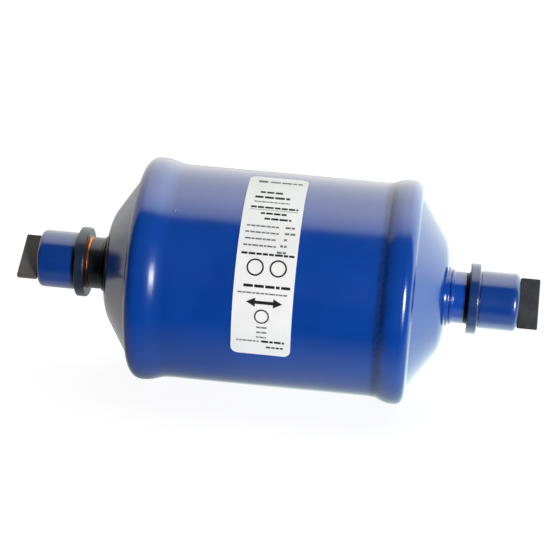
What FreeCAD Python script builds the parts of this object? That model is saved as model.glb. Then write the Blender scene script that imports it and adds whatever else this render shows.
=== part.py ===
import FreeCAD, Part
import math
import os

# A hermetic bi-flow filter drier for a liquid line, lying along X. Its two ends use the same pieces,
# turned end for end, so each piece of an end is made once, at the +X end, and copied to the -X end.
# Lengths are in millimetres. "Out" along the axis means away from the mid-plane at X = 0.
# The label and the flat face of the right plug's tab face -Y, a little upwards.

# Barrel tube
barrel_radius = 38.1
barrel_wall = 2.0
barrel_length = 72.0
swage_drop = 0.8
swage_run = 0.6
swage_bend = 0.3

# Stamped end cap
cap_wall = 2.0
skirt_gap = 0.05
skirt_edge_gap = 0.1
skirt_edge_step = 0.05
ring_length = 12.3
ring_rise = 1.75
ring_foot_run = 3.3
ring_crown_bend = 8.0
ring_corner_bend = 3.2
tube_end_gap = 0.1
step_width = 6.1
step_length = 1.6
step_inner_bend = 0.8
step_outer_bend = 1.5
step_root_inside_bend = 0.8
step_lip_inside_bend = 1.2
cone_angle = 56.5
dome_depth = 11.3
dome_bend = 16.0

# Neck bush, brazed through the cap
neck_radius = 9.2
neck_length = 6.7
line_bore_radius = 6.2
bush_spigot_radius = 8.55
bush_hole_gap = 0.05
bush_inner_stand = 0.6
lip_width = 1.4
lip_thickness = 0.9
lip_bend = 0.35
bead_offset = 0.3
bead_height = 0.7
bead_length = 1.0
bead_bend = 0.3

# Socket fitting, brazed into the neck bush
spigot_radius = 7.2
spigot_depth = 3.9
spigot_gap = 0.05
braze_length = 1.0
braze_rise = 0.6
collar_radius = 12.45
collar_length = 3.5
collar_bend = 0.5
groove_length = 0.6
groove_depth = 0.35
socket_wall = 2.23
socket_bore_radius = 7.97
socket_length = 14.0
socket_stop = 0.1
mouth_bend = 1.6
mouth_chamfer = 0.4

# Rubber plug
plug_gap = 0.05
plug_insertion = 8.5
plug_rib_height = 0.5
plug_rib_count = 3
plug_rib_spacing = 2.2
plug_tip_chamfer = 0.8
tab_stand = 0.3
tab_length = 7.2
tab_width = 17.8
tab_thickness = 2.0
tab_end_slant = 0.4
tab_bend = 0.45
tab_root_depth = 1.0
right_tab_lean = 15.0
left_tab_lean = 47.0

# Label on the barrel
label_gap = 0.05
label_thickness = 0.15
label_width = 20.4
label_centre_x = -1.05
label_top_angle = 7.75
label_sweep_angle = 109.6
label_corner_bend = 2.5

# Desiccant core with its sleeve and screen
core_length = 58.0
core_bore_radius = 11.0
core_chamfer = 1.2
sleeve_gap = 0.05
sleeve_wall = 2.0
screen_gap = 0.1
screen_wall = 0.6
screen_end_gap = 0.05
screen_hole_radius = 1.6
screen_rows = 7
screen_row_spacing = 7.5
screen_holes_across = 4
gasket_thickness = 1.6
gasket_gap = 0.1

# Valve plate
plate_thickness = 1.4
plate_gap = 0.2
plate_rim_wall = 1.2
plate_bend = 0.4
outlet_port_radius = 6.5
seat_width = 0.9
seat_height = 0.4
port_rim_margin = 1.2
inlet_port_radius = 1.6
inlet_port_count = 16

# Inlet flapper and its retainer
valve_gap = 0.05
flapper_thickness = 0.6
flapper_lift = 1.6
flapper_seat_width = 0.7
flapper_inner_seat = 0.8
retainer_core_gap = 0.4
retainer_wall = 0.8
retainer_flange = 0.8
retainer_reach = 3.9
flapper_guide_gap = 0.1

# Outlet poppet, its spring and its cage
poppet_head_overhang = 1.9
poppet_head_thickness = 1.5
poppet_nose_length = 1.4
poppet_nose_gap = 0.4
poppet_nose_draft = 1.5
poppet_stem_radius = 2.0
poppet_stem_proud = 1.2
poppet_lift = 2.5
guide_gap = 0.06
cage_head_gap = 1.0
cage_wall = 1.0
cage_top = 1.2
cage_foot_width = 2.4
cage_foot_thickness = 0.8
cage_height = 9.2
cage_boss_wall = 1.6
cage_boss_height = 1.8
cage_window_width = 7.5
cage_window_sill = 2.2
cage_window_height = 5.0
spring_wire_radius = 0.3
spring_coil_clearance = 1.1
spring_turns = 4.5
spring_end_gap = 0.02

# Disc spring between the valve plate and the cap
stack_spring_width = 3.9
stack_spring_thickness = 0.7
stack_spring_crown = 0.7
stack_spring_gap = 0.05

# Places that follow from the sizes above, measured out from the mid-plane
crease = barrel_length / 2
skirt_edge = crease + swage_run + skirt_edge_gap
ring_face = skirt_edge + ring_length
flange_inside = ring_face - cap_wall
tube_end = flange_inside - tube_end_gap
dome_start = ring_face + step_length
dome_face = ring_face + dome_depth
neck_end = dome_face + neck_length
collar_start = neck_end + braze_length
collar_end = collar_start + collar_length
socket_end = collar_end + socket_length
core_end = core_length / 2
plate_inside = core_end + gasket_thickness
plate_outside = plate_inside + plate_thickness
seat_top = plate_outside + seat_height
flapper_outside = plate_inside - valve_gap
flapper_inside = flapper_outside - flapper_thickness
retainer_stop = flapper_inside - flapper_lift - valve_gap
retainer_inside = retainer_stop - retainer_flange
head_underside = seat_top + valve_gap
head_top = head_underside + poppet_head_thickness
cage_roof = plate_outside + cage_height - cage_top

# Radii that follow from the sizes above
tube_spigot_radius = barrel_radius - swage_drop
tube_spigot_bore = tube_spigot_radius - barrel_wall
ring_radius = barrel_radius + ring_rise
dome_root_radius = barrel_radius - step_width
socket_radius = socket_bore_radius + socket_wall
plug_rib_radius = socket_bore_radius - plug_gap
plate_radius = tube_spigot_bore - plate_gap
inlet_port_circle = plate_radius - plate_rim_wall - port_rim_margin - inlet_port_radius
flapper_bore = inlet_port_circle - inlet_port_radius - flapper_inner_seat
retainer_guide_radius = flapper_bore - flapper_guide_gap
retainer_bore = retainer_guide_radius - retainer_wall
core_radius = retainer_bore - retainer_core_gap
poppet_head_radius = outlet_port_radius + poppet_head_overhang
cage_bore = poppet_head_radius + cage_head_gap
cage_radius = cage_bore + cage_wall
guide_bore = poppet_stem_radius + guide_gap

ORIGIN = FreeCAD.Vector(0, 0, 0)
ALONG = FreeCAD.Vector(1, 0, 0)
UP = FreeCAD.Vector(0, 0, 1)


def corner_reaches(corners, bends):
    """How far each rounded corner reaches along its two sides, shortened where a side is too short."""
    count = len(corners)
    reaches = []
    for index in range(count):
        back = corners[index - 1] - corners[index]
        ahead = corners[(index + 1) % count] - corners[index]
        reaches.append(bends[index] / math.tan(back.getAngle(ahead) / 2))
    for index in range(count):
        following = (index + 1) % count
        side = (corners[following] - corners[index]).Length
        wanted = reaches[index] + reaches[following]
        if wanted > side:
            reaches[index] *= 0.98 * side / wanted
            reaches[following] *= 0.98 * side / wanted
    return reaches


def rounded_face(outline):
    """A flat face in the X-Z plane from its corners (x, z, bend radius), with the corners rounded."""
    corners = [FreeCAD.Vector(x, 0, z) for x, z, bend in outline]
    reaches = corner_reaches(corners, [bend for x, z, bend in outline])
    edges = []
    last_end = None
    first_start = None
    for index, corner in enumerate(corners):
        back = (corners[index - 1] - corner).normalize()
        ahead = (corners[(index + 1) % len(corners)] - corner).normalize()
        start = corner + back * reaches[index]
        end = corner + ahead * reaches[index]
        if last_end is not None and (start - last_end).Length > 1e-6:
            edges.append(Part.makeLine(last_end, start))
        if reaches[index] > 0:
            half_angle = back.getAngle(ahead) / 2
            bend = reaches[index] * math.tan(half_angle)
            inward = (back + ahead).normalize()
            middle = corner + inward * (bend / math.sin(half_angle) - bend)
            edges.append(Part.Arc(start, middle, end).toShape())
        last_end = end
        if first_start is None:
            first_start = start
    edges.append(Part.makeLine(last_end, first_start))
    return Part.Face(Part.Wire(edges))


def turned(outline, sweep=360):
    """A solid turned about the X axis from the outline of its section."""
    return rounded_face(outline).revolve(ORIGIN, ALONG, sweep)


def ring(inside, outside, inner_radius, outer_radius, bend=0.0):
    """A plain turned ring between two places along the axis."""
    return turned([
        (inside, inner_radius, bend),
        (inside, outer_radius, bend),
        (outside, outer_radius, bend),
        (outside, inner_radius, bend),
    ])


def symmetric_outline(outer_half, inner_half):
    """The closed outline of a tube from the +X halves of its outer and inner walls, listed outwards."""
    outer = [(-x, z, bend) for x, z, bend in reversed(outer_half)] + outer_half
    inner = list(reversed(inner_half)) + [(-x, z, bend) for x, z, bend in inner_half]
    return outer + inner


def crossing_cylinders(radius, reach, places):
    """Cylinders that cross the axis, one for each (x, angle about the axis)."""
    cylinders = []
    for x, angle in places:
        across = FreeCAD.Vector(0, math.cos(math.radians(angle)), math.sin(math.radians(angle)))
        start = ALONG * x - across * reach
        cylinders.append(Part.makeCylinder(radius, 2 * reach, start, across))
    return Part.makeCompound(cylinders)


def shell_tube():
    swage_end = crease + swage_run
    outer = [
        (crease, barrel_radius, swage_bend),
        (swage_end, tube_spigot_radius, swage_bend),
        (tube_end, tube_spigot_radius, 0),
    ]
    inner = [
        (crease - barrel_wall / 2, barrel_radius - barrel_wall, swage_bend),
        (swage_end, tube_spigot_bore, swage_bend),
        (tube_end, tube_spigot_bore, 0),
    ]
    return turned(symmetric_outline(outer, inner))


def end_cap():
    """One stamping: the skirt over the tube, the ring face, the step, the cone and the flat."""
    slope = math.tan(math.radians(cone_angle))
    inner_shift = cap_wall / math.cos(math.radians(cone_angle))
    hole_radius = bush_spigot_radius + bush_hole_gap
    skirt_bore = tube_spigot_radius + skirt_gap
    flat_inside = dome_face - cap_wall
    cone_foot = dome_root_radius - slope * (dome_face - dome_start)
    inner_cone_foot = dome_root_radius - slope * (flat_inside - dome_start) - inner_shift
    inner_root = dome_root_radius - cap_wall
    inner_step = dome_start + (dome_root_radius - inner_shift - inner_root) / slope
    return turned([
        (skirt_edge, skirt_bore, 0),
        (skirt_edge, barrel_radius + skirt_edge_step, 0.2),
        (skirt_edge + ring_foot_run, ring_radius, ring_crown_bend),
        (ring_face, ring_radius, ring_corner_bend),
        (ring_face, dome_root_radius, step_inner_bend),
        (dome_start, dome_root_radius, step_outer_bend),
        (dome_face, cone_foot, dome_bend),
        (dome_face, hole_radius, 0),
        (flat_inside, hole_radius, 0),
        (flat_inside, inner_cone_foot, dome_bend - cap_wall),
        (inner_step, inner_root, step_root_inside_bend),
        (flange_inside, inner_root, step_lip_inside_bend),
        (flange_inside, skirt_bore, 0),
    ])


def neck_bush():
    """Spigot through the cap, lip on the cap's flat, bead, and the neck with a counterbore."""
    inside = dome_face - cap_wall - bush_inner_stand
    lip_end = dome_face + lip_thickness
    bead_start = lip_end + bead_offset
    bead_end = bead_start + bead_length
    counterbore_floor = neck_end - spigot_depth
    counterbore_radius = spigot_radius + spigot_gap
    return turned([
        (inside, line_bore_radius, 0),
        (inside, bush_spigot_radius, 0.2),
        (dome_face, bush_spigot_radius, 0),
        (dome_face, neck_radius + lip_width, 0),
        (lip_end, neck_radius + lip_width, lip_bend),
        (lip_end, neck_radius, 0.1),
        (bead_start, neck_radius, 0.1),
        (bead_start, neck_radius + bead_height, bead_bend),
        (bead_end, neck_radius + bead_height, bead_bend),
        (bead_end, neck_radius, bead_bend),
        (neck_end, neck_radius, 0.3),
        (neck_end, counterbore_radius, 0),
        (counterbore_floor, counterbore_radius, 0),
        (counterbore_floor, line_bore_radius, 0),
    ])


def socket_fitting():
    """Spigot, collar, groove and the socket for the line, with a stop where its bore narrows."""
    spigot_start = neck_end - spigot_depth + spigot_gap
    groove_end = collar_end + groove_length
    bore_floor = collar_end + socket_stop
    return turned([
        (spigot_start, line_bore_radius, 0),
        (spigot_start, spigot_radius, 0.2),
        (collar_start, spigot_radius, 0),
        (collar_start, collar_radius, collar_bend),
        (collar_end, collar_radius, collar_bend),
        (collar_end, socket_radius - groove_depth, 0.1),
        (groove_end, socket_radius - groove_depth, 0.1),
        (groove_end, socket_radius, 0.1),
        (socket_end, socket_radius, mouth_bend),
        (socket_end, socket_bore_radius + mouth_chamfer, 0),
        (socket_end - mouth_chamfer, socket_bore_radius, 0),
        (bore_floor, socket_bore_radius, 0.2),
        (bore_floor, line_bore_radius, 0),
    ])


def braze_ring():
    """The bare ring of filler between the neck and the collar, flared where it wets the collar."""
    inner = spigot_radius + spigot_gap
    outer = neck_radius - braze_rise / 2
    flare_start = neck_end + 0.6 * braze_length
    return turned([
        (neck_end, inner, 0),
        (neck_end, outer, 0.2),
        (flare_start, outer, 0.8),
        (collar_start, outer + braze_rise, 0),
        (collar_start, inner, 0),
    ])


def plug(lean):
    """Ribbed shank in the socket and a flat pull tab, leaning back by an angle about the axis."""
    tip = socket_end - plug_insertion
    tab_start = socket_end + tab_stand
    shank_radius = plug_rib_radius - plug_rib_height
    outline = [
        (tip, 0, 0),
        (tip, shank_radius - plug_tip_chamfer, 0.3),
        (tip + plug_tip_chamfer, shank_radius, 0.3),
    ]
    for index in range(plug_rib_count):
        rib = tip + plug_tip_chamfer + plug_rib_height + plug_rib_spacing * (index + 0.5)
        outline += [
            (rib - plug_rib_height, shank_radius, 0),
            (rib - plug_rib_height / 4, plug_rib_radius, 0.1),
            (rib + plug_rib_height / 4, plug_rib_radius, 0.1),
            (rib + plug_rib_height, shank_radius, 0),
        ]
    outline += [
        (tab_start, shank_radius, 0.2),
        (tab_start, 0, 0),
    ]
    shank = turned(outline)
    tab_end = tab_start + tab_length
    tab_side = rounded_face([
        (tab_start, -tab_width / 2, 0),
        (tab_end, -tab_width / 2, 0),
        (tab_end - tab_end_slant, tab_width / 2, 0),
        (tab_start, tab_width / 2, 0),
    ])
    tab = tab_side.extrude(FreeCAD.Vector(0, tab_thickness, 0))
    tab = tab.translated(FreeCAD.Vector(0, -tab_thickness / 2, 0))
    tab = tab.makeFillet(tab_bend, tab.Edges)
    root_height = shank_radius * 1.2
    root = Part.makeBox(
        tab_root_depth + tab_stand, tab_thickness - 2 * tab_bend, root_height,
        FreeCAD.Vector(tab_start - tab_root_depth, tab_bend - tab_thickness / 2, -root_height / 2),
    )
    whole = shank.fuse([root, tab]).removeSplitter()
    return whole.rotated(ORIGIN, ALONG, -lean)


def label():
    """A thin sector of a ring on the front of the barrel, with rounded corners."""
    inner = barrel_radius + label_gap
    outer = inner + label_thickness
    left = label_centre_x - label_width / 2
    right = label_centre_x + label_width / 2
    section = rounded_face([(left, inner, 0), (left, outer, 0), (right, outer, 0), (right, inner, 0)])
    section = section.rotated(ORIGIN, ALONG, label_top_angle)
    sector = section.revolve(ORIGIN, ALONG, label_sweep_angle)
    corner_edges = [edge for edge in sector.Edges if edge.Length < 1.5 * label_thickness]
    return sector.makeFillet(label_corner_bend, corner_edges)


def desiccant_core():
    end = core_end
    outer = [(end - core_chamfer, core_radius, 0), (end, core_radius - core_chamfer, 0)]
    inner = [(end - core_chamfer, core_bore_radius, 0), (end, core_bore_radius + core_chamfer, 0)]
    return turned(symmetric_outline(outer, inner))


def filter_sleeve():
    half = retainer_inside - valve_gap
    inner = core_radius + sleeve_gap
    return ring(-half, half, inner, inner + sleeve_wall)


def core_screen_tube():
    """A tube with rows of holes, inside the core's bore from one valve plate to the other."""
    half = plate_inside - screen_end_gap
    outer = core_bore_radius - screen_gap
    tube = ring(-half, half, outer - screen_wall, outer)
    places = []
    for row in range(screen_rows):
        x = (row - (screen_rows - 1) / 2) * screen_row_spacing
        stagger = 90 / screen_holes_across * (row % 2)
        for hole in range(screen_holes_across):
            places.append((x, stagger + 180 / screen_holes_across * hole))
    return tube.cut(crossing_cylinders(screen_hole_radius, 2 * outer, places))


def core_gasket():
    inner = core_bore_radius + gasket_gap
    return ring(core_end, plate_inside, inner, core_radius)


def valve_plate():
    """A drawn cup: the outlet port with its raised seat, the ring of inlet ports, and the rim."""
    rim_end = flange_inside - stack_spring_thickness - stack_spring_crown - 2 * stack_spring_gap
    plate = turned([
        (plate_inside, outlet_port_radius, 0),
        (plate_inside, plate_radius, plate_bend),
        (rim_end, plate_radius, 0.2),
        (rim_end, plate_radius - plate_rim_wall, 0.2),
        (plate_outside, plate_radius - plate_rim_wall, plate_bend),
        (plate_outside, outlet_port_radius + seat_width, 0),
        (seat_top, outlet_port_radius + seat_width, 0.1),
        (seat_top, outlet_port_radius, 0.1),
    ])
    ports = []
    for index in range(inlet_port_count):
        angle = 2 * math.pi * index / inlet_port_count
        centre = FreeCAD.Vector(
            plate_inside - plate_thickness,
            inlet_port_circle * math.cos(angle),
            inlet_port_circle * math.sin(angle),
        )
        ports.append(Part.makeCylinder(inlet_port_radius, 3 * plate_thickness, centre, ALONG))
    return plate.cut(Part.makeCompound(ports))


def inlet_flapper():
    outer = inlet_port_circle + inlet_port_radius + flapper_seat_width
    return ring(flapper_inside, flapper_outside, flapper_bore, outer, 0.1)


def flapper_retainer():
    """A sleeve round the core's end that guides the flapper, with a flange that stops it."""
    return turned([
        (retainer_inside, retainer_bore, 0),
        (retainer_inside, retainer_guide_radius + retainer_reach, 0.2),
        (retainer_stop, retainer_guide_radius + retainer_reach, 0.2),
        (retainer_stop, retainer_guide_radius, 0.2),
        (plate_inside, retainer_guide_radius, 0),
        (plate_inside, retainer_bore, 0),
    ])


def outlet_poppet():
    """A nose in the port, a head on the seat and a stem in the cage's guide."""
    nose_radius = outlet_port_radius - poppet_nose_gap
    nose_tip = head_underside - poppet_nose_length
    stem_end = cage_roof + cage_top + cage_boss_height + poppet_stem_proud
    return turned([
        (nose_tip, 0, 0),
        (nose_tip, nose_radius - poppet_nose_draft, 0.4),
        (head_underside, nose_radius, 0),
        (head_underside, poppet_head_radius, 0.3),
        (head_top, poppet_head_radius, 0.3),
        (head_top, poppet_stem_radius, 0.2),
        (stem_end, poppet_stem_radius, 0.4),
        (stem_end, 0, 0),
    ])


def poppet_spring():
    """An open coil round the stem, between the poppet's head and the cage's roof."""
    coil_radius = guide_bore + spring_coil_clearance + spring_wire_radius
    start = head_top + spring_end_gap + spring_wire_radius
    end = cage_roof - spring_end_gap - spring_wire_radius
    pitch = (end - start) / spring_turns
    helix = Part.makeLongHelix(pitch, end - start, coil_radius)
    circle = Part.makeCircle(
        spring_wire_radius, FreeCAD.Vector(coil_radius, 0, 0), FreeCAD.Vector(0, 1, 0)
    )
    coil = Part.Wire(helix.Edges).makePipeShell([Part.Wire(circle)], True, True)
    coil = coil.rotated(ORIGIN, FreeCAD.Vector(0, 1, 0), 90)
    return coil.translated(ALONG * start)


def poppet_cage():
    """A turned cup with a foot on the plate, two pairs of windows and a guide boss for the stem."""
    foot_radius = cage_radius + cage_foot_width
    roof_top = cage_roof + cage_top
    boss_radius = guide_bore + cage_boss_wall
    boss_top = roof_top + cage_boss_height
    cage = turned([
        (plate_outside, cage_bore, 0),
        (plate_outside, foot_radius, 0.2),
        (plate_outside + cage_foot_thickness, foot_radius, 0.2),
        (plate_outside + cage_foot_thickness, cage_radius, 0.2),
        (roof_top, cage_radius, 0.8),
        (roof_top, boss_radius, 0.2),
        (boss_top, boss_radius, 0.3),
        (boss_top, guide_bore, 0),
        (cage_roof, guide_bore, 0),
        (cage_roof, cage_bore, 0.2),
    ])
    sill = plate_outside + cage_window_sill
    windows = []
    for angle in (0, 90):
        window = Part.makeBox(
            cage_window_height, 2 * foot_radius, cage_window_width,
            FreeCAD.Vector(sill, -foot_radius, -cage_window_width / 2),
        )
        windows.append(window.rotated(ORIGIN, ALONG, angle))
    return cage.cut(windows)


def stack_spring():
    """A disc spring, coned so that its outer edge meets the plate's rim and its inner edge the cap."""
    outer = plate_radius
    inner = outer - stack_spring_width
    inner_end = flange_inside - stack_spring_gap
    outer_end = inner_end - stack_spring_crown
    return turned([
        (outer_end - stack_spring_thickness, outer, 0.1),
        (outer_end, outer, 0.1),
        (inner_end, inner, 0.1),
        (inner_end - stack_spring_thickness, inner, 0.1),
    ])


def export(name, shape):
    shape.exportStep("parts/" + name + ".step")


def export_pair(name, right_shape, left_source=None):
    """Write a piece of the +X end, and its twin turned end for end at the -X end."""
    left_shape = (left_source or right_shape).rotated(ORIGIN, UP, 180)
    export("right_" + name, right_shape)
    export("left_" + name, left_shape)


os.makedirs("parts", exist_ok=True)

export("shell_tube", shell_tube())
export("label", label())
export("desiccant_core", desiccant_core())
export("filter_sleeve", filter_sleeve())
export("core_screen_tube", core_screen_tube())
export_pair("end_cap", end_cap())
export_pair("neck_bush", neck_bush())
export_pair("socket_fitting", socket_fitting())
export_pair("braze_ring", braze_ring())
# turning a plug end for end also turns its tab's lean the other way
export_pair("plug", plug(right_tab_lean), plug(-left_tab_lean))
export_pair("core_gasket", core_gasket())
export_pair("valve_plate", valve_plate())
export_pair("inlet_flapper", inlet_flapper())
export_pair("flapper_retainer", flapper_retainer())
export_pair("outlet_poppet", outlet_poppet())
export_pair("poppet_spring", poppet_spring())
export_pair("poppet_cage", poppet_cage())
export_pair("stack_spring", stack_spring())
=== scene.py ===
import bmesh
import bpy
import math
import random
from mathutils import Matrix, Vector


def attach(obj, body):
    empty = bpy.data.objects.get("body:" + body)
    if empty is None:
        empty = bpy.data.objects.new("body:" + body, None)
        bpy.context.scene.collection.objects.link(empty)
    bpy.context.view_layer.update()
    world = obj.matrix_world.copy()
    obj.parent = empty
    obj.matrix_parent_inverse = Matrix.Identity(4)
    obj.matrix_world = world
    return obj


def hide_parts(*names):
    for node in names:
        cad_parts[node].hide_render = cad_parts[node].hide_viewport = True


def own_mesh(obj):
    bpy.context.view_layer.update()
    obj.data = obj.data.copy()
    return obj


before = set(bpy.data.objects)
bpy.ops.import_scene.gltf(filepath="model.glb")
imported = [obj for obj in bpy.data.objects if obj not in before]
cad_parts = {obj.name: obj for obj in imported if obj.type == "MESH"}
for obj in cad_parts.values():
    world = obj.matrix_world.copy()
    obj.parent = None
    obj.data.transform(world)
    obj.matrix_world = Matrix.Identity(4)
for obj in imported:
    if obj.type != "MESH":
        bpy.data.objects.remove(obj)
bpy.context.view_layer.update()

# The looks of the filter drier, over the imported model. Sizes here are in millimetres, and Blender's own
# unit is the metre. Places along the axis are those of the right end, counted from the middle of the body.
# A piece of the left end is made at the right end too, and turned round.
MM = 0.001

# Camera, as the photograph was taken
camera_distance = 640.0
camera_azimuth = 5.06
camera_elevation = 15.0
camera_roll = 4.14
camera_lens = 115.37
camera_sensor_width = 36.0
camera_shift_x = 0.0047
camera_clip_end = 20.0

# Key lamp, which gives the bright streaks on the two rings
key_azimuth = 31.5
key_elevation = 2.0
key_distance = 1000.0
key_width = 230.0
key_height = 500.0
key_power = 11.6

# Facets round the body, its necks and its small turned pieces
body_facets = 256
neck_facets = 160
small_facets = 128

# Barrel and caps
barrel_radius = 38.1
barrel_wall = 2.0
barrel_half = 36.0
tube_spigot_radius = 37.3
tube_end = 46.9
skirt_edge = 36.7
skirt_gap = 0.05
skirt_radius = barrel_radius + skirt_gap
skirt_bore = tube_spigot_radius + skirt_gap
swage_end = skirt_edge - 0.1
ring_radius = 39.85
ring_face = 49.0
cap_wall = 2.0
dome_start = 50.6
dome_face = 60.3
dome_root_radius = 32.0
dome_hole_radius = 8.6
cone_angle = math.radians(56.5)

# Each raised ring: where its foot starts, how far it runs, and the bends of its crown, of its outer corner
# and of the crease before it
ring_shapes = {
    "right": (38.5, 3.3, 10.0, 3.7, 1.5),
    "left": (36.85, 5.3, 18.0, 5.0, 14.0),
}

# Filler painted over each skirt's edge
filler_lead = 2.5
filler_rise = 0.05
filler_inner_radius = tube_spigot_radius + 0.3

# Neck, with a lip and a bead on the cap's flat end
passage_radius = 6.2
neck_start = 57.7
neck_spigot_radius = 8.55
lip_radius = 10.6
lip_end = 61.2
bead_radius = 9.9
bead_start = 61.5
bead_end = 62.5
neck_radius = 9.2
neck_end = 67.0
neck_recess_radius = 7.25
neck_recess_floor = 63.1

# Braze between neck and collar
braze_radius = 8.9
braze_straight = 0.6
braze_foot_radius = 9.5

# Socket fitting
socket_spigot_start = 63.15
socket_spigot_radius = 7.2
collar_start = 68.0
collar_end = 71.5
collar_radius = 12.45
groove_radius = 9.85
groove_end = collar_end + 0.6
socket_radius = 10.2
socket_bore = 7.97
socket_floor = collar_end + 0.1
socket_end = 85.5
socket_mouth = 0.4

# Plug and its pull tab
plug_tip = 77.0
plug_taper = 0.8
shank_radius = 7.42
rib_radius = 7.92
rib_offsets = (2.4, 4.6, 6.8)
tab_start = 85.8
tab_end = 93.0
tab_end_slant = 0.4
tab_half_width = 8.9
tab_half_thickness = 1.0
tab_bend = 0.45
tab_leans = {"right": 15.0, "left": -47.0}

# Springs round the poppet stems
spring_seat = 33.97
spring_roof = 39.98
coil_turns = 4.5
coil_radius = 3.46
wire_radius = 0.3

# Label on the barrel
label_left = -11.25
label_right = 9.15
label_top = 82.25
label_bottom = -27.35
label_inner = 38.15
label_outer = 38.3
label_corner = 2.5
print_height = 0.02

# Words of the print, in heights of their letters
shortest_word = 1.2
longest_word = 3.6
word_gap = 0.45

# A pit in the barrel's paint, by its place along the axis and its angle above the front
pit_x = -33.8
pit_angle = math.radians(46.6)
pit_radius = 1.0

# Floor. Matt surfaces don't see it in front of the front edge; gloss sees a painted glow on it grow bright
# over the fade, with a painted shadow of the object in it.
floor_height = -ring_radius
floor_reach = 6000.0
floor_front_edge = -60.0
floor_fade_start = -90.0
floor_fade_end = 10.0
floor_fade_side = 100.0


def direction_at(azimuth, elevation):
    """The direction from the object to a lamp or camera; azimuth 0 is in front, 90 at the right end."""
    turn = math.radians(azimuth)
    rise = math.radians(elevation)
    return Vector((math.sin(turn) * math.cos(rise), -math.cos(turn) * math.cos(rise), math.sin(rise)))


def round_axis(x, radius, angle):
    """A place, or a normal, turned by an angle round the X axis."""
    return (x, radius * math.cos(angle), radius * math.sin(angle))


def above_front(x, radius, angle):
    """A place round the axis, by its angle above the front, -Y, in metres from millimetres."""
    return (x * MM, -radius * math.cos(angle) * MM, radius * math.sin(angle) * MM)


def half_turn(places):
    """Places of the right end turned half way round the Z axis, to the left end."""
    return [(-x, -y, z) for x, y, z in places]


def rounded_section(corners, fine):
    """Sides of a closed section from corners (x, r, bend), with bends in steps of at most fine degrees.

    Each side is (start, end, normal at the start, normal at the end)."""
    tiny = 1e-6
    shared = 0.98
    count = len(corners)
    points = [Vector((x, r)) for x, r, bend in corners]
    reaches = []
    for index in range(count):
        back = (points[index - 1] - points[index]).normalized()
        ahead = (points[(index + 1) % count] - points[index]).normalized()
        half_angle = math.acos(max(-1.0, min(1.0, back.dot(ahead)))) / 2
        reaches.append(corners[index][2] / math.tan(half_angle))
    for index in range(count):
        following = (index + 1) % count
        side = (points[following] - points[index]).length
        wanted = reaches[index] + reaches[following]
        if wanted > side:
            reaches[index] *= shared * side / wanted
            reaches[following] *= shared * side / wanted
    sides = []
    for index in range(count):
        following = (index + 1) % count
        corner = points[index]
        back = (points[index - 1] - corner).normalized()
        ahead = (points[following] - corner).normalized()
        before = Vector((back.y, -back.x))
        after = Vector((-ahead.y, ahead.x))
        if reaches[index] > tiny:
            turn = math.atan2(before.cross(after), before.dot(after))
            steps = max(2, math.ceil(abs(math.degrees(turn)) / fine))
            start = corner + back * reaches[index]
            bend = reaches[index] / math.tan(abs(turn) / 2)
            centre = start - before * bend * (1 if turn < 0 else -1)
            last = start
            last_normal = before
            for step in range(1, steps + 1):
                angle = turn * step / steps
                normal = Vector((
                    before.x * math.cos(angle) - before.y * math.sin(angle),
                    before.x * math.sin(angle) + before.y * math.cos(angle),
                ))
                place = centre + normal * bend * (1 if turn < 0 else -1)
                sides.append((last, place, last_normal, normal))
                last = place
                last_normal = normal
        side_start = corner + ahead * reaches[index]
        side_end = points[following] - ahead * reaches[following]
        if (side_end - side_start).length > tiny and (side_end.y > tiny or side_start.y > tiny):
            sides.append((side_start, side_end, after, after))
    return sides


def new_object(name, mesh):
    obj = bpy.data.objects.new(name, mesh)
    bpy.context.scene.collection.objects.link(obj)
    return obj


def turned(name, corners, around, fine=3.0, flip=False):
    """A closed mesh turned about the X axis from a section, with the section's own exact normals."""
    sides = rounded_section(corners, fine)
    rings = {}
    vertices = []

    def ring_of(point):
        key = (round(point.x, 5), round(point.y, 5))
        if key not in rings:
            first = len(vertices)
            if point.y < 1e-5:
                vertices.append((point.x * MM, 0.0, 0.0))
                rings[key] = [first] * around
            else:
                for index in range(around):
                    vertices.append(round_axis(point.x * MM, point.y * MM, 2 * math.pi * index / around))
                rings[key] = list(range(first, first + around))
        return rings[key]

    faces = []
    normals = []
    for start, end, start_normal, end_normal in sides:
        first_ring = ring_of(start)
        second_ring = ring_of(end)
        for index in range(around):
            following = (index + 1) % around
            corners_of_face = [
                (first_ring[index], start_normal, index),
                (first_ring[following], start_normal, following),
                (second_ring[following], end_normal, following),
                (second_ring[index], end_normal, index),
            ]
            face = []
            for vertex, normal, place in corners_of_face:
                if vertex in face:
                    continue
                face.append(vertex)
                normals.append(round_axis(normal.x, normal.y, 2 * math.pi * place / around))
            faces.append(face)
    if flip:
        vertices = half_turn(vertices)
        normals = half_turn(normals)
    mesh = bpy.data.meshes.new(name)
    mesh.from_pydata(vertices, [], faces)
    mesh.shade_smooth()
    mesh.normals_split_custom_set(normals)
    return new_object(name, mesh)


def dress(obj, material, body, slot, *nodes):
    """Gives a piece its material, its body and the CAD nodes it stands for. The slot argument is not used.
    """
    obj.data.materials.append(material)
    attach(obj, body)
    if nodes:
        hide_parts(*nodes)
    return obj


# Materials

def add(tree, kind, inputs=None, **settings):
    """A shader node with its settings; an input takes a number, a colour or another node's output."""
    node = tree.nodes.new("ShaderNode" + kind)
    for name, value in settings.items():
        setattr(node, name, value)
    for name, value in (inputs or {}).items():
        socket = node.inputs[name]
        if isinstance(value, bpy.types.NodeSocket):
            tree.links.new(value, socket)
        else:
            socket.default_value = value
    return node


def grey(level):
    return (level, level, level, 1)


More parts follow.
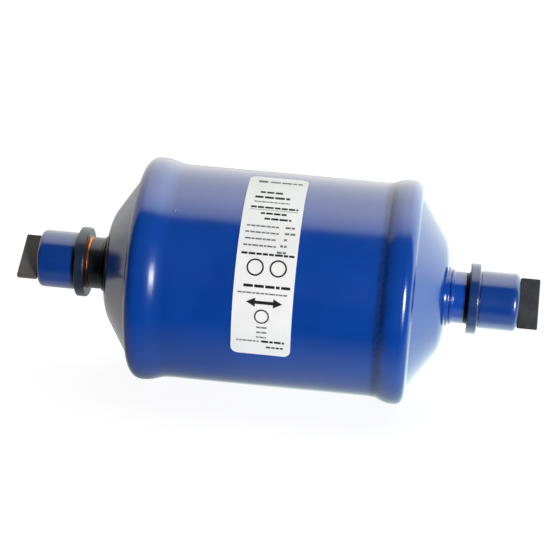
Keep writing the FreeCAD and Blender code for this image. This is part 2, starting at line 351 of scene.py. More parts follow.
def ramp(tree, factor, stops):
    """A colour ramp from (position, colour) stops; a plain number is a grey."""
    node = add(tree, "ValToRGB", {"Fac": factor})
    elements = node.color_ramp.elements
    while len(elements) < len(stops):
        elements.new(0.5)
    for element, (position, colour) in zip(elements, stops):
        element.position = position
        element.color = (*colour, 1) if isinstance(colour, tuple) else grey(colour)
    return node.outputs["Color"]


def worked(tree, operation, *values):
    """The result of a sum on numbers or outputs."""
    return add(tree, "Math", dict(enumerate(values)), operation=operation).outputs["Value"]


def mapped(tree, value, start, end, first=0.0, last=1.0):
    """A value that goes from first to last while another goes from start to end."""
    return add(tree, "MapRange", {
        "Value": value,
        "From Min": start,
        "From Max": end,
        "To Min": first,
        "To Max": last,
    }).outputs["Result"]


def mixed(tree, share, first, second):
    return add(tree, "MixRGB", {"Fac": share, "Color1": first, "Color2": second}).outputs["Color"]


def mixed_shader(tree, share, first, second):
    return add(tree, "MixShader", {0: share, 1: first, 2: second}).outputs["Shader"]


def object_place(tree):
    """The place in the object's own coordinates, in metres from the middle of the body."""
    return add(tree, "TexCoord").outputs["Object"]


def parts_of(tree, vector):
    """The X, Y and Z of a vector."""
    return add(tree, "SeparateXYZ", {"Vector": vector}).outputs


def grain(tree, scale, detail=2.0, stretch=(1, 1, 1), roughness=0.5):
    """Noise over the object's own coordinates, with scale in waves per metre."""
    stretched = add(tree, "Mapping", {"Vector": object_place(tree), "Scale": stretch}).outputs["Vector"]
    return add(tree, "TexNoise", {
        "Vector": stretched,
        "Scale": scale,
        "Detail": detail,
        "Roughness": roughness,
    }).outputs["Fac"]


def bumped(tree, heights):
    """A normal from several (height, depth in millimetres) pairs, one over the other."""
    normal = None
    for height, depth in heights:
        inputs = {"Height": height, "Strength": 1.0, "Distance": depth * MM}
        if normal is not None:
            inputs["Normal"] = normal
        normal = add(tree, "Bump", inputs).outputs["Normal"]
    return normal


def new_material(name):
    material = bpy.data.materials.new(name)
    material.use_nodes = True
    material.node_tree.nodes.clear()
    return material, material.node_tree


def finish_material(tree, inputs):
    surface = add(tree, "BsdfPrincipled", inputs)
    add(tree, "OutputMaterial", {"Surface": surface.outputs["BSDF"]})


def along_axis(tree, wobble, stops):
    """A value that changes with the place along the axis: stops are (x in millimetres, value)."""
    reach = 100
    x_place = parts_of(tree, object_place(tree))["X"]
    wobbled = worked(tree, "MULTIPLY_ADD", grain(tree, 260, 3), 2 * wobble * MM, x_place)
    share = mapped(tree, wobbled, (-reach + wobble) * MM, (reach + wobble) * MM)
    return ramp(tree, share, [((x + reach) / (2 * reach), value) for x, value in stops])


def paint_material():
    """Glossy blue enamel, a little wavy, with orange peel, specks and a pit.

    It is darker over the left neck and both collars. Painted shade darkens both sockets and the right neck
    beside its collar, and a painted reflection of the dark neck darkens the left cone round it; dirt and
    painted shade darken the right crease."""
    material, tree = new_material("blue_enamel")
    place = object_place(tree)
    enamel = ramp(tree, grain(tree, 45, 3), [
        (0.3, (0.0024, 0.0465, 0.288)),
        (0.7, (0.0037, 0.0570, 0.346)),
    ])
    # Dirt and painted shade: a dark speckled band along the right crease, with less coat on it.
    crease = along_axis(tree, 0.8, [(36.2, 0.0), (37.6, 0.76), (39.2, 0.76), (40.8, 0.0)])
    crumbs = ramp(tree, grain(tree, 1300, 3), [(0.40, 0.60), (0.60, 1.0)])
    crease_dirt_and_shade = worked(tree, "MULTIPLY", crease, crumbs)
    dusty = mixed(tree, crease_dirt_and_shade, enamel, (0.007, 0.013, 0.040, 1))
    # Left socket, collar, neck and the neck's foot on the cap, then the right neck, collar and socket
    darkening_and_painted_shade = along_axis(tree, 0.5, [
        (-90.0, 0.28), (-73.2, 0.25),
        (-72.3, 1.0), (-71.3, 0.90), (-67.9, 0.90),
        (-60.4, 1.0), (-59.8, 0.45), (-55.5, 0.40), (-52.5, 0.0),
        (66.2, 0.0), (67.4, 0.95), (68.4, 0.62), (71.6, 0.62), (72.6, 0.35), (86.0, 0.25),
    ])
    # Painted shade on both sockets and on the right neck beside its collar, a painted reflection on the
    # left cone round the neck, and plainly darker paint over the left neck and both collars.
    colour = mixed(tree, darkening_and_painted_shade, dusty, (0.0065, 0.0135, 0.0155, 1))
    dulled = ramp(tree, darkening_and_painted_shade, [(0.45, 0.0), (1.0, 1.0)])
    coat = mixed(tree, crease_dirt_and_shade, ramp(tree, dulled, [(0.0, 1.0), (1.0, 0.45)]), grey(0.35))
    rim = along_axis(tree, 0.8, [(-84.5, 0.5), (-83.0, 0.0), (82.0, 0.0), (83.5, 1.0)])
    roughness = ramp(tree, grain(tree, 90, 4), [(0.3, 0.16), (0.75, 0.24)])
    coat_roughness = ramp(tree, grain(tree, 60, 3), [(0.3, 0.08), (0.7, 0.14)])
    specks = add(tree, "TexVoronoi", {"Vector": place, "Scale": 210.0}).outputs["Distance"]
    speck_height = ramp(tree, specks, [(0.0, 1.0), (0.055, 0.0)])
    pit_place = above_front(pit_x, barrel_radius, pit_angle)
    from_pit = add(tree, "VectorMath", {0: place, 1: pit_place}, operation="DISTANCE").outputs["Value"]
    pit_share = mapped(tree, from_pit, 0.0, pit_radius * MM)
    normal = bumped(tree, [
        (grain(tree, 38, 1), 0.20),
        (grain(tree, 110, 1), 0.015),
        (grain(tree, 620, 2), 0.0035),
        (speck_height, 0.03),
        (ramp(tree, pit_share, [(0.0, 0.0), (0.30, 0.2), (0.55, 1.0), (0.8, 0.72)]), 0.3),
    ])
    finish_material(tree, {
        "Base Color": colour,
        "Roughness": mixed(tree, dulled, roughness, grey(0.45)),
        "IOR": 1.55,
        "Coat Weight": coat,
        "Coat IOR": 1.6,
        "Coat Roughness": mixed(tree, rim, coat_roughness, grey(0.30)),
        "Normal": normal,
        "Coat Normal": normal,
    })
    return material


def copper_material(name, painted_light_level):
    """Braze metal bared between neck and collar: orange copper with some dark heat tint, painted lighter
    on top and darker below as painted shade.
    """
    material, tree = new_material(name)
    tint = ramp(tree, grain(tree, 260, 5, (0.5, 1, 1), 0.65), [
        (0.30, (0.16, 0.045, 0.014)),
        (0.48, (0.52, 0.15, 0.035)),
        (0.62, (0.80, 0.27, 0.07)),
        (0.80, (0.34, 0.10, 0.04)),
    ])
    height = parts_of(tree, object_place(tree))["Z"]
    # Painted shade: darker towards the bottom, and darker all over for a lower painted light level.
    upper = mapped(tree, height, -2.0 * MM, 7.0 * MM, 0.12 * painted_light_level, painted_light_level)
    painted_shade_colour = (0.060 * painted_light_level, 0.024 * painted_light_level, 0.014 * painted_light_level, 1)
    finish_material(tree, {
        "Base Color": mixed(tree, upper, painted_shade_colour, tint),
        "Metallic": 0.85,
        "Roughness": ramp(tree, grain(tree, 500, 3), [(0.3, 0.28), (0.7, 0.5)]),
        "Normal": bumped(tree, [(grain(tree, 350, 3), 0.06), (grain(tree, 1500, 2), 0.01)]),
    })
    return material


def rubber_material(name, colour, dusty, shine=0.5):
    """Moulded black rubber with a fine grain and a bloom of dust."""
    material, tree = new_material(name)
    finish_material(tree, {
        "Base Color": ramp(tree, grain(tree, 160, 6, (1, 1, 1), 0.7), [(0.35, colour), (0.72, dusty)]),
        "Roughness": ramp(tree, grain(tree, 420, 3), [(0.3, 0.42), (0.7, 0.6)]),
        "Specular IOR Level": shine,
        "Sheen Weight": 0.12,
        "Sheen Roughness": 0.5,
        "Normal": bumped(tree, [(grain(tree, 240, 2), 0.05), (grain(tree, 2300, 3), 0.012)]),
    })
    return material


def film_material():
    """White label film with a satin face, faint mottling and a very slight ripple."""
    material, tree = new_material("label_film")
    finish_material(tree, {
        "Base Color": ramp(tree, grain(tree, 130, 4), [
            (0.3, (0.85, 0.855, 0.85)),
            (0.7, (0.91, 0.912, 0.905)),
        ]),
        "Roughness": ramp(tree, grain(tree, 300, 3), [(0.3, 0.34), (0.7, 0.46)]),
        "Coat Weight": 0.9,
        "Coat Roughness": 0.2,
        "Normal": bumped(tree, [(grain(tree, 110, 1), 0.03), (grain(tree, 1800, 2), 0.003)]),
    })
    return material


def ink_material(name, colour, worn):
    """Printing ink, with spots where it has worn pale."""
    material, tree = new_material(name)
    finish_material(tree, {
        "Base Color": ramp(tree, grain(tree, 900, 5, (1, 1, 1), 0.7), [(0.4, colour), (0.85, worn)]),
        "Roughness": ramp(tree, grain(tree, 700, 2), [(0.3, 0.35), (0.7, 0.5)]),
        "Specular IOR Level": 0.2,
        "Normal": bumped(tree, [(grain(tree, 1600, 2), 0.003)]),
    })
    return material


def metal_material(name, dark, light, stretch, smooth=0.22, rough=0.42):
    """Bare metal with fine drawn or turned lines along one direction."""
    material, tree = new_material(name)
    lines = grain(tree, 900, 4, stretch, 0.6)
    finish_material(tree, {
        "Base Color": ramp(tree, grain(tree, 120, 5), [(0.3, dark), (0.7, light)]),
        "Metallic": 1.0,
        "Roughness": ramp(tree, lines, [(0.3, smooth), (0.7, rough)]),
        "Normal": bumped(tree, [(lines, 0.006), (grain(tree, 200, 2), 0.02)]),
    })
    return material


def plated_material():
    """Zinc plate passivated to a pale yellow, with faint spangle."""
    material, tree = new_material("plated_steel")
    cells = add(tree, "TexVoronoi", {"Vector": object_place(tree), "Scale": 420.0}).outputs["Color"]
    spangle = add(tree, "RGBToBW", {"Color": cells}).outputs["Val"]
    finish_material(tree, {
        "Base Color": ramp(tree, grain(tree, 60, 4), [
            (0.3, (0.62, 0.60, 0.52)),
            (0.55, (0.70, 0.64, 0.44)),
            (0.75, (0.60, 0.62, 0.60)),
        ]),
        "Metallic": 1.0,
        "Roughness": ramp(tree, spangle, [(0.2, 0.26), (0.8, 0.42)]),
        "Normal": bumped(tree, [(grain(tree, 800, 3), 0.006)]),
    })
    return material


def desiccant_material():
    """Moulded beads held in a binder: rounded grains with darker gaps."""
    material, tree = new_material("desiccant")
    beads = add(tree, "TexVoronoi", {"Vector": object_place(tree), "Scale": 620.0}).outputs["Distance"]
    finish_material(tree, {
        "Base Color": ramp(tree, beads, [
            (0.0, (0.76, 0.71, 0.60)),
            (0.45, (0.62, 0.56, 0.45)),
            (0.8, (0.30, 0.26, 0.20)),
        ]),
        "Roughness": 0.9,
        "Normal": bumped(tree, [(ramp(tree, beads, [(0.0, 1.0), (0.7, 0.0)]), 0.35)]),
    })
    return material


def fleece_material(name, dark, light):
    """Matted fibres, crossing in two directions."""
    material, tree = new_material(name)
    one_way = grain(tree, 1500, 4, (0.15, 1, 1), 0.7)
    other_way = grain(tree, 1500, 4, (1, 0.2, 0.2), 0.7)
    both = worked(tree, "MULTIPLY", one_way, other_way)
    finish_material(tree, {
        "Base Color": ramp(tree, both, [(0.1, dark), (0.4, light)]),
        "Roughness": 0.85,
        "Sheen Weight": 0.4,
        "Sheen Roughness": 0.4,
        "Normal": bumped(tree, [(both, 0.12)]),
    })
    return material


paint = paint_material()
# The right copy is painted shade: dark where the collar's shadow falls on the braze.
copper = {
    "left": copper_material("bare_copper", 1.0),
    "right": copper_material("shaded_copper", 0.03),
}
plug_rubber = {
    "left": rubber_material("dusty_rubber", (0.062, 0.054, 0.049), (0.088, 0.079, 0.071)),
    "right": rubber_material("black_rubber", (0.006, 0.007, 0.010), (0.028, 0.030, 0.036), 0.25),
}
seal_rubber = rubber_material("seal_rubber", (0.015, 0.015, 0.016), (0.03, 0.03, 0.03))
film = film_material()
black_ink = ink_material("black_ink", (0.006, 0.006, 0.008), (0.035, 0.035, 0.04))
grey_ink = ink_material("grey_ink", (0.13, 0.13, 0.14), (0.28, 0.28, 0.29))
drawn_steel = metal_material(
    "drawn_steel", (0.50, 0.50, 0.50), (0.60, 0.59, 0.57), (0.06, 1, 1))
spring_wire = metal_material(
    "spring_wire", (0.34, 0.34, 0.36), (0.46, 0.46, 0.47), (1, 0.2, 0.2), 0.2, 0.34)
turned_brass = metal_material(
    "turned_brass", (0.64, 0.46, 0.20), (0.76, 0.60, 0.32), (1, 0.05, 0.05), 0.18, 0.36)
plated = plated_material()
desiccant = desiccant_material()
fleece = fleece_material("fleece", (0.62, 0.61, 0.57), (0.88, 0.88, 0.85))
gasket_fibre = fleece_material("gasket_fibre", (0.38, 0.36, 0.31), (0.62, 0.60, 0.54))


# Steel body, painted blue

def mirrored_halves(outer_half, inner_half):
    """A tube's whole section from the outside and the inside of its right half."""
    outer = [(-x, r, bend) for x, r, bend in reversed(outer_half)] + outer_half
    inner = list(reversed(inner_half)) + [(-x, r, bend) for x, r, bend in inner_half]
    return outer + inner


tube_section = mirrored_halves(
    [
        (barrel_half, barrel_radius, 0.3),
        (swage_end, tube_spigot_radius, 0.3),
        (tube_end, tube_spigot_radius, 0),
    ],
    [
        (barrel_half - barrel_wall / 2, barrel_radius - barrel_wall, 0.3),
        (swage_end, tube_spigot_radius - barrel_wall, 0.3),
        (tube_end, tube_spigot_radius - barrel_wall, 0),
    ],
)
dress(turned("barrel", tube_section, body_facets), paint, "root", "blue_paint", "shell_tube")

cone_slope = math.tan(cone_angle)
inner_shift = cap_wall / math.cos(cone_angle)
flat_inside = dome_face - cap_wall


def cap_section(foot_start, foot_run, crown_bend, corner_bend):
    """Skirt, raised ring, the shallow valley beside it, cone and flat end, then the inside back again."""
    return [
        (skirt_edge, skirt_bore, 0),
        (skirt_edge, skirt_radius, 0.05),
        (foot_start, skirt_radius, 0.05),
        (foot_start + foot_run, ring_radius, crown_bend),
        (ring_face, ring_radius, corner_bend),
        (ring_face, dome_root_radius + cone_slope * (dome_start - ring_face), 2.4),
        (dome_face, dome_root_radius - cone_slope * (dome_face - dome_start), 16.0),
        (dome_face, dome_hole_radius, 0),
        (flat_inside, dome_hole_radius, 0),
        (flat_inside, dome_root_radius - cone_slope * (flat_inside - dome_start) - inner_shift, 14.0),
        (dome_start + (cap_wall - inner_shift) / cone_slope, dome_root_radius - cap_wall, 0.8),
        (ring_face - cap_wall, dome_root_radius - cap_wall, 1.2),
        (ring_face - cap_wall, skirt_bore, 0),
    ]


def crease_section(foot_start, foot_run, bend):
    """Filler painted over the skirt's edge, from the tube up into the crease before the ring."""
    slope = (ring_radius - skirt_radius) / foot_run
    reach = 0.3 + bend * math.tan(math.atan(slope) / 2)
    cover = filler_rise * (foot_start - skirt_edge)
    start = skirt_edge - filler_lead
    crease = foot_start + (cover - skirt_gap) / slope
    return [
        (start, barrel_radius + 0.005, 0),
        (crease, barrel_radius + cover + 0.01, bend),
        (crease + reach, barrel_radius + cover + 0.02 + slope * reach, 0),
        (crease + 0.7 * reach, filler_inner_radius, 0),
        (start + 0.7, filler_inner_radius, 0),
    ]


neck_section = [
    (neck_start, passage_radius, 0),
    (neck_start, neck_spigot_radius, 0.2),
    (dome_face, neck_spigot_radius, 0),
    (dome_face, lip_radius, 0),
    (lip_end, lip_radius, 0.35),
    (lip_end, neck_radius, 0.1),
    (bead_start, neck_radius, 0.1),
    (bead_start, bead_radius, 0.3),
    (bead_end, bead_radius, 0.3),
    (bead_end, neck_radius, 0.3),
    (neck_end, neck_radius, 0.3),
    (neck_end, neck_recess_radius, 0),
    (neck_recess_floor, neck_recess_radius, 0),
    (neck_recess_floor, passage_radius, 0),
]
socket_section = [
    (socket_spigot_start, passage_radius, 0),
    (socket_spigot_start, socket_spigot_radius, 0.2),
    (collar_start, socket_spigot_radius, 0),
    (collar_start, collar_radius, 0.5),
    (collar_end, collar_radius, 0.5),
    (collar_end, groove_radius, 0.1),
    (groove_end, groove_radius, 0.1),
    (groove_end, socket_radius, 0.1),
    (socket_end, socket_radius, 1.8),
    (socket_end, socket_bore + socket_mouth, 0),
    (socket_end - socket_mouth, socket_bore, 0),
    (socket_floor, socket_bore, 0.2),
    (socket_floor, passage_radius, 0),
]
braze_section = [
    (neck_end, neck_recess_radius, 0),
    (neck_end, braze_radius, 0.2),
    (neck_end + braze_straight, braze_radius, 0.8),
    (collar_start, braze_foot_radius, 0),
    (collar_start, neck_recess_radius, 0),
]
for side, flip in (("right", False), ("left", True)):
    foot_start, foot_run, crown_bend, corner_bend, crease_bend = ring_shapes[side]
    cap_outline = cap_section(foot_start, foot_run, crown_bend, corner_bend)
    cap = turned(side + "_cap", cap_outline, body_facets, 2.5, flip)
    dress(cap, paint, "root", "blue_paint", side + "_end_cap")
    filler_outline = crease_section(foot_start, foot_run, crease_bend)
    filler = turned(side + "_crease_filler", filler_outline, body_facets, 2.5, flip)
    dress(filler, paint, "root", "blue_paint")
    neck = turned(side + "_neck", neck_section, neck_facets, 6, flip)
    dress(neck, paint, "root", "blue_paint", side + "_neck_bush")
    socket = turned(side + "_socket", socket_section, neck_facets, 6, flip)
    dress(socket, paint, "root", "blue_paint", side + "_socket_fitting")
    braze = turned(side + "_braze", braze_section, small_facets, 8, flip)
    dress(braze, copper[side], "root", "bare_copper", side + "_braze_ring")


# Rubber plugs

shank_section = [
    (plug_tip, 0.0, 0),
    (plug_tip, shank_radius - plug_taper, 0.3),
    (plug_tip + plug_taper, shank_radius, 0.3),
]
for offset in rib_offsets:
    rib = plug_tip + offset
    shank_section += [
        (rib - 0.5, shank_radius, 0),
        (rib - 0.125, rib_radius, 0.1),
        (rib + 0.125, rib_radius, 0.1),
        (rib + 0.5, shank_radius, 0),
    ]
shank_section += [(tab_start, shank_radius, 0.2), (tab_start, 0.0, 0)]


def tab_object(name, lean, flip):
    """The flat pull tab: a slab with rounded edges, a little shorter along its top."""
    mesh = bpy.data.meshes.new(name)
    build = bmesh.new()
    outline = [
        (tab_start, -tab_half_width),
        (tab_end, -tab_half_width),
        (tab_end - tab_end_slant, tab_half_width),
        (tab_start, tab_half_width),
    ]
    front = [build.verts.new((x, -tab_half_thickness, z)) for x, z in outline]
    back = [build.verts.new((x, tab_half_thickness, z)) for x, z in outline]
    build.faces.new(front)
    build.faces.new(list(reversed(back)))
    for index in range(4):
        following = (index + 1) % 4
        build.faces.new((front[following], front[index], back[index], back[following]))
    bmesh.ops.recalc_face_normals(build, faces=build.faces)
    bmesh.ops.bevel(
        build, geom=list(build.edges), offset=tab_bend, segments=5, profile=0.5, affect="EDGES")
    turn = Matrix.Rotation(-math.radians(lean), 4, "X")
    if flip:
        turn = Matrix.Rotation(math.pi, 4, "Z") @ turn
    build.transform(Matrix.Scale(MM, 4) @ turn)
    build.to_mesh(mesh)
    build.free()
    mesh.shade_smooth()
    obj = new_object(name, mesh)
    obj.modifiers.new("flat_faces", "WEIGHTED_NORMAL")
    return obj


for side, flip in (("right", False), ("left", True)):
    shank = turned(side + "_plug_shank", shank_section, small_facets, 15, flip)
    dress(shank, plug_rubber[side], side + "_plug", "black_rubber", side + "_plug")
    tab = tab_object(side + "_plug_tab", tab_leans[side], flip)
    dress(tab, plug_rubber[side], side + "_plug", "black_rubber", side + "_plug")


# Label and its print. A place on it is x along the axis and v, the distance round from its top edge.

def on_label(x, v, radius):
    return above_front(x, radius, math.radians(label_top) - v / label_outer)


label_length = math.radians(label_top - label_bottom) * label_outer


def label_object():
    """The film: a sheet with round corners, bent round the barrel, with its own thickness."""
    mesh = bpy.data.meshes.new("label_film")
    corner_steps = 8
    middle_steps = 12
    rows = 120
    corner = [
        label_corner * (1 - math.cos(math.pi / 2 * step / corner_steps))
        for step in range(corner_steps + 1)
    ]
    middle_start = label_left + label_corner
    middle_width = label_right - label_left - 2 * label_corner
    columns = [label_left + inset for inset in corner]
    columns += [middle_start + middle_width * step / middle_steps for step in range(1, middle_steps)]
    columns += [label_right - inset for inset in reversed(corner)]
    vertices = []
    for radius in (label_outer, label_inner):
        for x in columns:
            from_side = min(x - label_left, label_right - x, label_corner)
            cut = label_corner - math.sqrt(max(label_corner ** 2 - (label_corner - from_side) ** 2, 0))
            for row in range(rows + 1):
                v = cut + (label_length - 2 * cut) * row / rows
                vertices.append(on_label(x, v, radius))
    count = len(columns)
    stride = rows + 1
    under = count * stride
    faces = []
    for column in range(count - 1):
        for row in range(rows):
            here = column * stride + row
            beside = here + stride
            faces.append((here, here + 1, beside + 1, beside))
            faces.append((under + here, under + beside, under + beside + 1, under + here + 1))
        top = column * stride
        beside = top + stride
        faces.append((top, beside, under + beside, under + top))
        faces.append((top + rows, under + top + rows, under + beside + rows, beside + rows))
    for row in range(rows):
        last = (count - 1) * stride + row
        faces.append((row, under + row, under + row + 1, row + 1))
        faces.append((last, last + 1, under + last + 1, under + last))
    mesh.from_pydata(vertices, [], faces)
    mesh.shade_smooth()
    mesh.set_sharp_from_angle(angle=math.radians(40))
    return new_object("label_film", mesh)


dress(label_object(), film, "root", "label_film", "label")


class Print:
    """Flat shapes of one ink, laid on the label."""

    def __init__(self):
        self.vertices = []
        self.faces = []

    def patch(self, outline):
        """A flat shape from its (x, v) outline, short enough to need no bending."""
        first = len(self.vertices)
        self.vertices += [on_label(x, v, label_outer + print_height) for x, v in outline]
        self.faces.append(list(range(first, first + len(outline))))

    def bar(self, x0, x1, v0, v1):
        row_height = 0.6
        rows = max(1, math.ceil((v1 - v0) / row_height))
        for row in range(rows):
            top = v0 + (v1 - v0) * row / rows
            low = v0 + (v1 - v0) * (row + 1) / rows
            self.patch([(x0, top), (x1, top), (x1, low), (x0, low)])

    def words(self, x0, x1, v, height, seed):
        """A row of plain bars, which stands for a line of small print."""
        chance = random.Random(seed)
        x = x0
        while x < x1:
            end = min(x + height * chance.uniform(shortest_word, longest_word), x1)
            if x1 - end < shortest_word * height:
                end = x1
            self.bar(x, end, v, v + height)
            x = end + word_gap * height

    def ring(self, x, v, outer, inner):
        steps = 56
        for step in range(steps):
            start = 2 * math.pi * step / steps
            end = 2 * math.pi * (step + 1) / steps
            self.patch([
                (x + outer * math.cos(start), v - outer * math.sin(start)),
                (x + inner * math.cos(start), v - inner * math.sin(start)),
                (x + inner * math.cos(end), v - inner * math.sin(end)),
                (x + outer * math.cos(end), v - outer * math.sin(end)),
            ])

    def double_arrow(self, x0, x1, v, head, half_head, half_shaft):
        """The two-way flow arrow, its heads in narrow strips that follow the label's bend."""
        strips = 14
        for strip in range(strips):
            top = half_head * (2 * strip / strips - 1)
            low = half_head * (2 * (strip + 1) / strips - 1)
            top_reach = head * abs(top) / half_head
            low_reach = head * abs(low) / half_head
            self.patch([
                (x0 + top_reach, v + top),
                (x0 + head, v + top),
                (x0 + head, v + low),
                (x0 + low_reach, v + low),
            ])
            self.patch([
                (x1 - head, v + top),
                (x1 - top_reach, v + top),
                (x1 - low_reach, v + low),
                (x1 - head, v + low),
            ])
        self.bar(x0 + head, x1 - head, v - half_shaft, v + half_shaft)

    def finish(self, name, ink):
        mesh = bpy.data.meshes.new(name)
        mesh.from_pydata(self.vertices, [], [list(reversed(face)) for face in self.faces])
        mesh.shade_smooth()
        return dress(new_object(name, mesh), ink, "root", "label_film")


dark = Print()
pale = Print()
dark.double_arrow(-6.7, 5.6, 53.1, 3.1, 1.6, 0.56)
for x, v, outer, inner in (
    (-4.6, 41.3, 2.95, 2.38),
    (3.2, 41.2, 2.95, 2.38),
    (-1.1, 58.0, 2.55, 2.05),
):
    dark.ring(x, v, outer, inner)

# Rows across the label, from its top edge down. Words take left, right, distance from that edge, height
# and seed; a bar takes left, right and where it starts and ends.
pale.bar(-8.0, -4.8, 3.3, 4.9)
pale.words(-3.9, 7.2, 3.6, 1.0, 2)
dark.words(-6.5, 1.2, 10.6, 1.0, 3)
dark.words(-8.0, 4.0, 13.3, 1.05, 5)
pale.words(-8.0, 4.2, 15.9, 0.55, 7)
dark.words(-8.8, 7.4, 18.3, 0.85, 11)
pale.bar(-8.8, 7.4, 19.75, 19.95)
dark.words(-5.1, 3.7, 20.9, 0.8, 13)
dark.words(-3.6, 5.6, 23.1, 0.8, 17)

# Two columns of short rows
right_column = ((4.0, 7.2), (4.0, 7.6), (4.0, 5.0), (3.0, 5.2), (2.1, 5.2))
for index, (left, right) in enumerate(right_column):
    pale.words(left, right, 26.1 + 2.3 * index, 0.75, 40 + index)
left_column = ((-9.2, 1.8), (-9.4, 2.0), (-9.2, 1.2), (-9.5, 1.6))
for index, (left, right) in enumerate(left_column):
    pale.words(left, right, 26.3 + 2.4 * index, 0.6, 60 + index)

# Rows above, between and below the rings and the arrow
dark.words(-9.8, 8.2, 36.3, 0.75, 19)
dark.words(-8.0, 7.9, 47.1, 0.95, 23)
pale.words(-9.8, 7.0, 49.7, 0.55, 29)
for index in range(3):
    pale.words(-2.6, 0.9, 61.7 + 1.9 * index, 0.6, 80 + index)
pale.words(-9.3, -1.6, 67.2, 0.6, 31)
dark.words(-0.8, 7.0, 67.0, 0.85, 37)
dark.words(0.9, 6.7, 69.4, 0.7, 41)
dark.finish("label_print_dark", black_ink)
pale.finish("label_print_pale", grey_ink)


# Springs round the poppet stems

def coil_object(name, flip):
    """A closed wire coil between the poppet's head and the cage's roof."""
    along = 240
    across = 14
    start = spring_seat + wire_radius
    end = spring_roof - wire_radius
    pitch = (end - start) / coil_turns
    vertices = []
    for step in range(along + 1):
        turn = 2 * math.pi * coil_turns * step / along
        centre = Vector(round_axis(start + (end - start) * step / along, coil_radius, turn))
        outward = Vector(round_axis(0, 1, turn))
        round_about = Vector((0, -coil_radius * math.sin(turn), coil_radius * math.cos(turn)))
        forward = Vector((pitch / (2 * math.pi), 0, 0)) + round_about
        beside = forward.normalized().cross(outward)
        for index in range(across):
            angle = 2 * math.pi * index / across
            from_centre = outward * math.cos(angle) + beside * math.sin(angle)
            vertices.append(tuple((centre + wire_radius * from_centre) * MM))
    if flip:
        vertices = half_turn(vertices)
    faces = []
    for step in range(along):
        for index in range(across):
            following = (index + 1) % across
            here = step * across
            ahead = here + across
            faces.append((here + index, here + following, ahead + following, ahead + index))
    faces.append(tuple(reversed(range(across))))
    faces.append(tuple(range(along * across, (along + 1) * across)))
    mesh = bpy.data.meshes.new(name)
    mesh.from_pydata(vertices, [], faces)
    build = bmesh.new()
    build.from_mesh(mesh)
    bmesh.ops.recalc_face_normals(build, faces=build.faces)
    build.to_mesh(mesh)
    build.free()
    mesh.shade_smooth()
    mesh.set_sharp_from_angle(angle=math.radians(50))
    return new_object(name, mesh)


for side, sign in (("right", 1), ("left", -1)):
    coil = coil_object(side + "_poppet_coil", sign < 0)
    dress(coil, spring_wire, "root", "spring_steel", side + "_poppet_spring")
    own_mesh(coil)


# Inner pieces that keep their CAD shape

inner_materials = {
    "desiccant_core": desiccant,
    "filter_sleeve": fleece,
    "core_screen_tube": drawn_steel,
    "core_gasket": gasket_fibre,
    "valve_plate": plated,
    "inlet_flapper": seal_rubber,
    "flapper_retainer": plated,
    "outlet_poppet": turned_brass,
    "poppet_cage": plated,
    "stack_spring": spring_wire,
}
for node_name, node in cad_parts.items():
    for ending, material in inner_materials.items():
        if node_name.endswith(ending):
            node.data.materials.clear()
            node.data.materials.append(material)


# Floor, world, lamp and camera

def floor_material():
    """White with a faint shadow for the camera. Gloss sees a painted glow, fading to dark towards the
    camera, with a painted shadow of the object and painted light brighter to the right.
    """
    material, tree = new_material("floor")
    place = parts_of(tree, add(tree, "NewGeometry").outputs["Position"])
    plain = add(tree, "BsdfDiffuse", {"Color": grey(0.85)}).outputs["BSDF"]
    nothing = add(tree, "BsdfTransparent").outputs["BSDF"]
    in_front = worked(tree, "LESS_THAN", place["Y"], floor_front_edge * MM)
    others = mixed_shader(tree, in_front, plain, nothing)
    back = mapped(tree, place["Y"], floor_fade_start * MM, floor_fade_end * MM)
    # Painted shadow: the glow stays at about a third under the front of the object, then rises behind it.
    fade = ramp(tree, back, [
        (0.14, 0.0), (0.35, 0.14), (0.49, 0.31), (0.58, 0.36),
        (0.72, 0.37), (0.78, 0.5), (0.84, 0.95), (0.9, 1.0),
    ])
    aside = mapped(tree, place["X"], -floor_fade_side * MM, floor_fade_side * MM)
    # Painted light and shade: the glow is dim to the left and bright to the right, towards the key lamp.
    level = ramp(tree, aside, [
        (0.0, (0.48, 0.48, 0.46)),
        (0.2, (0.46, 0.48, 0.47)),
        (0.4, (0.60, 0.71, 0.73)),
        (0.57, (1.00, 1.15, 1.12)),
        (0.8, (1.16, 1.36, 1.30)),
        (1.0, (1.0, 1.22, 1.20)),
    ])
    mirrored = add(tree, "Emission", {"Color": level, "Strength": fade}).outputs["Emission"]
    glow = add(tree, "Emission", {"Color": grey(1), "Strength": 0.92}).outputs["Emission"]
    shadowed = add(tree, "BsdfDiffuse", {"Color": grey(0.16)}).outputs["BSDF"]
    seen = add(tree, "AddShader", {0: glow, 1: shadowed}).outputs["Shader"]
    path = add(tree, "LightPath").outputs
    not_camera = mixed_shader(tree, path["Is Glossy Ray"], others, mirrored)
    surface = mixed_shader(tree, path["Is Camera Ray"], not_camera, seen)
    add(tree, "OutputMaterial", {"Surface": surface})
    return material


floor_mesh = bpy.data.meshes.new("floor")
reach = floor_reach * MM
height = floor_height * MM
floor_mesh.from_pydata(
    [(-reach, -reach, height), (reach, -reach, height), (reach, reach, height), (-reach, reach, height)],
    [], [(0, 1, 2, 3)],
)
floor = new_object("floor", floor_mesh)
floor_mesh.materials.append(floor_material())


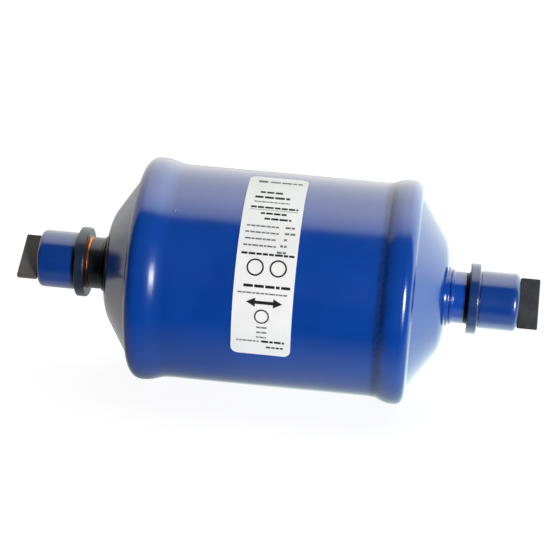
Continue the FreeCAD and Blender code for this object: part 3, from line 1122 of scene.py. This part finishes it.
def studio_world():
    """A light tent behind and above, dim at the left and bright at the right. The camera sees white."""
    world = bpy.data.worlds.new("studio")
    world.use_nodes = True
    tree = world.node_tree
    tree.nodes.clear()
    direction = parts_of(tree, add(tree, "TexCoord").outputs["Generated"])
    sideways = worked(tree, "ABSOLUTE", direction["X"])

    # The tent's edge leans forward with height and draws back at the sides
    lean = 0.306
    draw_back = -0.15
    leaned = worked(tree, "MULTIPLY_ADD", direction["Z"], lean, direction["Y"])
    edge = worked(tree, "MULTIPLY_ADD", sideways, draw_back, leaned)
    behind = mapped(tree, edge, -0.10, 0.50)
    tent = ramp(tree, behind, [(0.08, 0.0), (0.27, 0.55), (0.42, 0.72), (0.67, 0.87), (0.92, 1.0)])
    above = mapped(tree, direction["Z"], 0.0, 1.0, 1.0, 1.9)
    fill = 0.02
    strength = worked(tree, "ADD", worked(tree, "MULTIPLY", tent, above), fill)
    tint = ramp(tree, mapped(tree, direction["X"], -1.0, 1.0), [
        (0.0, (0.60, 0.60, 0.575)),
        (0.25, (0.66, 0.66, 0.63)),
        (0.5, (1.0, 0.995, 0.95)),
        (0.75, (1.21, 1.34, 1.27)),
        (1.0, (1.32, 1.53, 1.44)),
    ])

    # Matt surfaces get less light than gloss shows from the left and from high up at both sides
    high = mapped(tree, direction["Z"], 0.25, 0.60)
    wide = mapped(tree, sideways, 0.32, 0.60, 0.0, 0.78)
    kept = worked(tree, "SUBTRACT", 1.0, worked(tree, "MULTIPLY", high, wide))
    matt_share = mapped(tree, direction["X"], -0.7, 0.0, 0.05, 1.08)
    matt_strength = worked(tree, "MULTIPLY", worked(tree, "MULTIPLY", strength, matt_share), kept)

    path = add(tree, "LightPath").outputs
    both = mixed(tree, path["Is Glossy Ray"], matt_strength, strength)
    light = add(tree, "Background", {"Color": tint, "Strength": both}).outputs["Background"]
    white = add(tree, "Background", {"Color": grey(1), "Strength": 1.0}).outputs["Background"]
    add(tree, "OutputWorld", {"Surface": mixed_shader(tree, path["Is Camera Ray"], light, white)})
    return world


bpy.context.scene.world = studio_world()

key = bpy.data.lights.new("key", "AREA")
key.shape = "ELLIPSE"
key.size = key_width * MM
key.size_y = key_height * MM
key.energy = key_power
key_object = new_object("key", key)
key_away = direction_at(key_azimuth, key_elevation)
key_object.location = key_away * key_distance * MM
key_object.rotation_mode = "QUATERNION"
key_object.rotation_quaternion = (-key_away).to_track_quat("-Z", "Y")
key_object.visible_camera = False

camera = bpy.data.cameras.new("camera")
camera.lens = camera_lens
camera.sensor_width = camera_sensor_width
camera.shift_x = camera_shift_x
camera.clip_end = camera_clip_end
camera_object = new_object("camera", camera)
camera_away = direction_at(camera_azimuth, camera_elevation)
level_right = (-camera_away).cross(Vector((0, 0, 1))).normalized()
level_up = level_right.cross(-camera_away)
roll = math.radians(camera_roll)
right = level_right * math.cos(roll) + level_up * math.sin(roll)
up = level_up * math.cos(roll) - level_right * math.sin(roll)
camera_object.rotation_mode = "QUATERNION"
camera_object.rotation_quaternion = Matrix((right, up, camera_away)).transposed().to_quaternion()
camera_object.location = camera_away * camera_distance * MM
bpy.context.scene.camera = camera_object
bpy.context.scene.view_settings.view_transform = "Standard"
